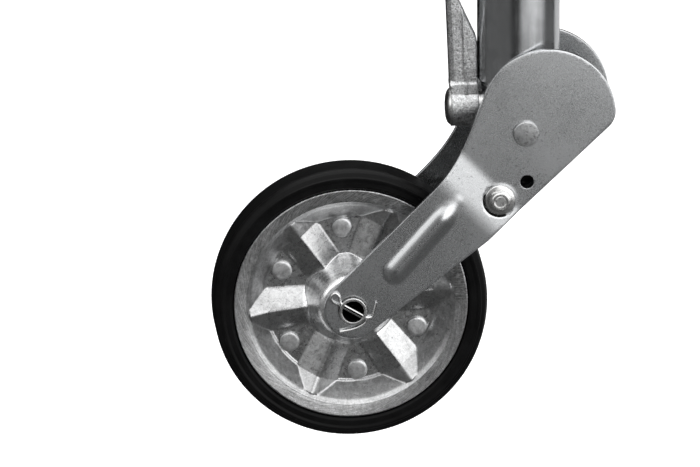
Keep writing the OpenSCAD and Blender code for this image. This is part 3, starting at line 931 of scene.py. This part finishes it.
def flange_nut():
    """Flange nut with a locking collar, given outwards from its seat."""
    rows = [
        (5.1, 0.0), (10.6, 0.0), (11.0, -0.4), (11.0, -1.0), (10.6, -1.5), (8.8, -2.1),
        (HEX, 1.0, -2.2), (HEX, 1.0, -4.7), (HEX, 0.965, -5.3), (6.7, -5.5), (6.5, -6.4), (6.0, -6.75),
        (5.35, -6.75), (5.15, -6.4), (5.1, -5.8),
    ]
    on_bolt_axis("locking_flange_nut", [(*row[:-1], row[-1] - NUT_SEAT) for row in rows], 120, "flange_nut")


def cross_bolt():
    """Bolt with a flanged hexagon head on the far side and a threaded, chamfered end in the nut."""
    near = -NUT_SEAT - 6.1
    rows = [(0.02, near), (3.6, near), (4.2, near + 0.5)]
    rows += [(4.95 - 0.45 * (k % 2), near + 0.9 + 0.55 * k) for k in range(24)]
    rows += [
        (4.9, near + 15), (4.9, NUT_SEAT), (10.1, NUT_SEAT), (10.5, 35.0), (10.5, 35.7), (10.1, 36.2),
        (8.4, 36.8), (HEX, 1.0, 36.9), (HEX, 1.0, 40.4), (HEX, 0.96, 41.2), (5.5, 41.35), (4.8, 40.9),
        (0.02, 40.9),
    ]
    on_bolt_axis("flange_bolt", rows, 96, "cross_bolt")


def axle_tube():
    end = box_mm("axle_tube")[1][1]
    bore, outside = 8.0, 10.0
    corners = [((bore, -end), 0.35), ((outside, -end), 0.45), ((outside, end), 0.45), ((bore, end), 0.35)]
    tube = lathe("hollow_axle", rounded(corners, 4), axle, "y", "zinc", "fork", ["axle_tube"], 128, 60)
    # Painted shade: the inside of the hollow axle is painted near-black
    paint_shade(tube, lambda face: away_from((0, 0), face) < bore + 0.05)


# ---------- split pins ----------

def smooth_path(points, per_span=8):
    """Catmull-Rom curve through the points."""
    p = np.array([2 * np.array(points[0]) - points[1], *points, 2 * np.array(points[-1]) - points[-2]])
    out = []
    for i in range(1, len(p) - 2):
        for t in np.arange(per_span) / per_span:
            out.append(0.5 * (2 * p[i] + (p[i + 1] - p[i - 1]) * t
                              + (2 * p[i - 1] - 5 * p[i] + 4 * p[i + 1] - p[i + 2]) * t ** 2
                              + (3 * p[i] - p[i - 1] - 3 * p[i + 1] + p[i + 2]) * t ** 3))
    out.append(p[-2])
    return np.array(out)


def half_turned(verts, along, centre_y):
    """Half a turn about the pin's own length."""
    out = verts.copy()
    flat = verts[:, [0, 2]]
    parallel = (flat @ along)[:, None] * along
    out[:, [0, 2]] = 2 * parallel - flat
    out[:, 1] = 2 * centre_y - verts[:, 1]
    return out


def split_pin(name, side, node):
    """Half-round wire bent back on itself: two flat-faced halves in the axle, an eye, and two bent legs."""
    wire_r, flat_at, apart, ring = 1.2, 0.45, 0.88, 14
    # The wire is drawn a little flatter in the bend's plane than across it
    in_plane, sideways = 0.9, 1.1
    centre_y = side * 39.3
    slope = math.radians(-30)
    along = np.array([math.cos(slope), math.sin(slope)])
    across = np.array([-along[1], along[0]])
    stations = (11.2, 8, 4, 0, -4, -8, -10.4)
    upper = [k * along + apart * across for k in stations]
    lower = [k * along - apart * across for k in reversed(stations)]
    eye = [
        (-9.5, 7.8), (-9.9, 11.1), (-12.2, 13.6), (-15.0, 12.6), (-15.9, 9.7), (-14.2, 7.0), (-11.3, 5.4),
    ]
    leg_up = [(17.3, 6.2), (16.2, 1.6), (14.9, -2.6), (13.4, -4.7)]
    leg_down = [(8.9, -8.6), (4.6, -11.6), (-1.5, -13.7), (-9.5, -15.2)]
    path = smooth_path([np.array(p, float) for p in [*leg_up, *upper, *eye, *lower, *leg_down]])
    turns = np.linspace(0, TURN, ring, endpoint=False)
    verts = []
    for i, p in enumerate(path):
        tangent = path[min(i + 1, len(path) - 1)] - path[max(i - 1, 0)]
        tangent = tangent / np.linalg.norm(tangent)
        normal = np.array([-tangent[1], tangent[0]])
        for t in turns:
            # The flat of the half-round faces the loop's inside, which is on the path's left
            place = p + normal * min(wire_r * math.cos(t), flat_at) * in_plane
            verts.append([place[0], centre_y + wire_r * math.sin(t) * sideways, place[1]])
    verts = np.array(verts)
    if side > 0:
        verts = half_turned(verts, along, centre_y)
    verts += [axle[0], 0, axle[2]]
    faces = grid_faces(len(path), ring, True)
    faces += [tuple(range(ring)), tuple(reversed(range((len(path) - 1) * ring, len(path) * ring)))]
    clean(mesh_piece(name, verts, faces, "zinc", "fork", [node], 45))


# ---------- lock lever ----------

HUB_R = 14.5
HUB_LEFT, HUB_RIGHT = -49.3, -29.2
NECK_FROM = 10.7
LEDGE = 17.0


def lever_rows(top):
    """Heights over the lock axis with the lever's half depth at each: the round hub, then the blade."""
    turns = np.linspace(-math.pi / 2 + 0.02, math.asin(NECK_FROM / HUB_R), 44)
    rows = [(HUB_R * math.sin(t), HUB_R * math.cos(t)) for t in turns]
    depths = [
        (NECK_FROM, 9.75), (18.3, 9.3), (19.8, 8.2), (45, 7.9), (100, 7.6), (top - 8, 7.0),
        (top - 2, 5.6), (top, 3.0),
    ]
    heights = np.concatenate([
        np.arange(NECK_FROM + 0.5, 24, 0.5), np.linspace(24.5, top - 3, 96),
        top - 3 + 3 * np.sin(np.linspace(0.15, math.pi / 2, 8)),
    ])
    return rows + [(h, read_off(depths, h)) for h in heights]


def lock_lever():
    """Drop-forged lever: a round hub, a neck with a ledge, and a flat leaning blade with a parting line."""
    top = box_mm("lock_lever")[1][2] - lock_axis[2]
    flash_high, flash_half = 0.8, 0.9
    chamfer_deep, chamfer_wide = 2.4, 3.5
    left = [(9, HUB_LEFT), (LEDGE, -50.4), (82, -53.2), (top - 4, -54.0), (top, -51.6)]
    right = [
        (12, HUB_RIGHT), (LEDGE, -29.4), (19, -30.05), (47, -30.1), (53, -31.0), (83, -44.8),
        (top - 4, -45.4), (top, -47.4),
    ]
    squareness = [(NECK_FROM, 26), (24, 9), (60, 6)]
    # Across the section: the face towards the viewer from left to right, then back along the other face
    sweep = np.sin(np.linspace(-math.pi / 2, math.pi / 2, 57))
    section = [(x, -1) for x in sweep] + [(x, 1) for x in sweep[-2:0:-1]]
    ring = len(section)
    verts = []
    rows = lever_rows(top)
    for h, half_depth in rows:
        x0, x1, power = read_off(left, h), read_off(right, h), read_off(squareness, h)
        parting = -38.6 - 0.045 * (h - LEDGE)
        for across, face in section:
            x = (x0 + x1) / 2 + (x1 - x0) / 2 * across
            depth = half_depth * (1 - abs(across) ** power) ** (1 / power)
            if h > NECK_FROM:
                # Flash line where the two dies met, and a chamfer along the left edge
                flash = flash_high * math.exp(-((x - parting) / flash_half) ** 2)
                depth += flash * min(1, depth / half_depth)
                chamfer = chamfer_deep * np.clip((x0 + chamfer_wide - x) / chamfer_wide, 0, 1)
                depth -= min(depth, float(chamfer * smoothstep(h, LEDGE, LEDGE + 4)))
            verts.append([x, face * depth, lock_axis[2] + h])
    verts = np.array(verts)
    verts += rng.normal(0, 0.05, verts.shape)
    faces = grid_faces(len(rows), ring, True)
    faces += [tuple(reversed(range(ring))), tuple(range((len(rows) - 1) * ring, len(rows) * ring))]
    clean(mesh_piece("forged_lock_lever", verts, faces, "forged_steel", "lock", ["lock_lever"], 60))


def lock_screw():
    """Lock screw, with a collar and a domed head spun over the lever's hub."""
    (head, _, _), (tip, _, _) = box_mm("lock_screw")
    profile = [
        (0.02, head), (4.2, head + 0.12), (8.4, head + 0.6), (11.4, head + 1.6), (12.9, head + 2.8),
        (13.5, head + 3.9), (13.3, head + 4.3), (13.1, HUB_LEFT - 0.05), (8.0, HUB_LEFT),
        (8.0, tip - 1.2), (6.8, tip), (0.02, tip),
    ]
    lathe("domed_lock_screw", np.array(profile), [0, 0, lock_axis[2]], "x", "zinc", "lock",
          ["lock_screw"], 96, 34)


# ---------- stage, lights and camera ----------

def floor():
    """Pale floor at the jack's lowest reach, so that the wheel never sinks into it."""
    travel = next(j["range_m"][1] for j in frame["joints"] if j["name"] == "lift")
    clearance, radius, corners = 0.005, 3.2, 64
    level = cad_low[2] - travel - clearance
    turns = np.linspace(0, TURN, corners, endpoint=False)
    mesh = bpy.data.meshes.new("floor")
    ring = [(radius * math.cos(t), radius * math.sin(t), level) for t in turns]
    mesh.from_pydata(ring, [], [tuple(range(corners))])
    material = bpy.data.materials.new("floor_white")
    material.use_nodes = True
    shader = material.node_tree.nodes["Principled BSDF"]
    shader.inputs["Base Color"].default_value = (0.9, 0.9, 0.9, 1)
    shader.inputs["Roughness"].default_value = 0.9
    shader.inputs["Emission Color"].default_value = (1, 1, 1, 1)
    shader.inputs["Emission Strength"].default_value = 0.8
    mesh.materials.append(material)
    obj = bpy.data.objects.new("floor", mesh)
    bpy.context.scene.collection.objects.link(obj)
    # The metal mirrors the dim studio and not the white floor
    obj.visible_glossy = False
    obj.visible_shadow = False


def world():
    """White behind the object for the camera. Reflections see a dim room with a dark back and a dark spot."""
    made = bpy.data.worlds.new("studio")
    bpy.context.scene.world = made
    n = Nodes(made)
    direction = n.new("TexCoord").outputs["Generated"]
    split = n.new("SeparateXYZ")
    n.link(direction, split.inputs[0])
    height = n.span(split.outputs["Z"], 0, 1, -1, 1)
    brightness = n.ramp(height, (0.0, 0.09), (0.22, 0.10), (0.36, 0.14), (0.52, 0.19), (0.7, 0.4), (1.0, 0.6))
    # The dark spot lies low in front, where upright sheet metal mirrors the room to the camera
    spot = n.new("VectorMath")
    spot.operation = "DOT_PRODUCT"
    spot.inputs[1].default_value = (-0.168, -0.951, -0.262)
    n.link(direction, spot.inputs[0])
    dark_spot = n.span(spot.outputs["Value"], 1.0, 0.1, 0.957, 0.985)
    dark_back = n.span(split.outputs["Y"], 1.0, 0.08, 0.2, 0.45)
    room = n.new("Background")
    n.link(n.product(brightness, dark_spot, dark_back), room.inputs["Color"])
    white = n.new("Background")
    white.inputs["Color"].default_value = (1, 1, 1, 1)
    mix = n.new("MixShader")
    n.link(n.new("LightPath").outputs["Is Camera Ray"], mix.inputs[0])
    n.link(room.outputs[0], mix.inputs[1])
    n.link(white.outputs[0], mix.inputs[2])
    n.link(mix.outputs[0], n.new("OutputWorld").inputs[0])


def panel(name, azimuth, elevation, distance, width, height, radiance, shift=(0, 0, 0)):
    """Softbox, seen from the fork at an azimuth (0 is the front, 90 the right) and elevation, in degrees."""
    light = bpy.data.lights.new(name, "AREA")
    light.shape = "RECTANGLE"
    light.size = width
    light.size_y = height
    light.energy = radiance * math.pi * width * height
    obj = bpy.data.objects.new(name, light)
    a, e = math.radians(azimuth), math.radians(elevation)
    towards = Vector((math.sin(a) * math.cos(e), -math.cos(a) * math.cos(e), math.sin(e)))
    fork_place = Vector((-0.06, 0, -0.3))
    obj.location = fork_place + towards * distance + Vector(shift)
    obj.rotation_euler = towards.to_track_quat("Z", "Y").to_euler()
    obj.visible_camera = False
    bpy.context.scene.collection.objects.link(obj)


def studio():
    """Floor, world and softboxes."""
    floor()
    world()
    panel("right_front", 38, 0, 1.2, 1.65, 1.1, 1.75, shift=(0, 0, 0.37))
    panel("overhead", 0, 88, 1.3, 2.0, 2.6, 1.5, shift=(0, 0.25, 0))
    panel("left_high", -62, 30, 1.3, 1.1, 0.8, 0.9)
    panel("left_low", -80, 15, 1.4, 0.9, 0.5, 0.6)
    panel("front_high", -12, 37, 1.5, 1.1, 0.6, 0.75)
    panel("behind", 180, 52, 1.6, 1.6, 0.8, 0.9)
    panel("back_right", 138, -8, 1.5, 1.2, 1.1, 0.8)


def camera():
    """Far camera four degrees to the left and fifteen above, framed on the wheel and the lower leg."""
    azimuth, elevation, distance = math.radians(-4.0), math.radians(15.15), 14.16
    back = Vector((math.sin(azimuth) * math.cos(elevation), -math.cos(azimuth) * math.cos(elevation),
                   math.sin(elevation)))
    right = Vector((math.cos(azimuth), math.sin(azimuth), 0))
    up = back.cross(right)
    right_of_axle, above_axle = 0.00054, 0.0463
    target = Vector(axle * MM) + right * right_of_axle + up * above_axle
    data = bpy.data.cameras.new("camera")
    data.lens = 1000
    data.sensor_width = 36
    data.clip_start = 0.05
    data.clip_end = 50
    obj = bpy.data.objects.new("camera", data)
    obj.location = target + back * distance
    obj.rotation_euler = back.to_track_quat("Z", "Y").to_euler()
    bpy.context.scene.collection.objects.link(obj)
    bpy.context.scene.camera = obj
    bpy.context.scene.view_settings.view_transform = "Standard"


camera()
studio()
dress_cad_nodes()
rim_half("pressed_rim_right", -1, "rim_right")
rim_half("pressed_rim_left", 1, "rim_left")
rim_rivets()
tyre()
fork_plate("fork_cheek_right", -1, "fork_plate_right")
fork_plate("fork_cheek_left", 1, "fork_plate_left")
pivot_rivet()
flange_nut()
cross_bolt()
axle_tube()
split_pin("bent_split_pin_right", -1, "split_pin_right")
split_pin("bent_split_pin_left", 1, "split_pin_left")
lock_lever()
lock_screw()
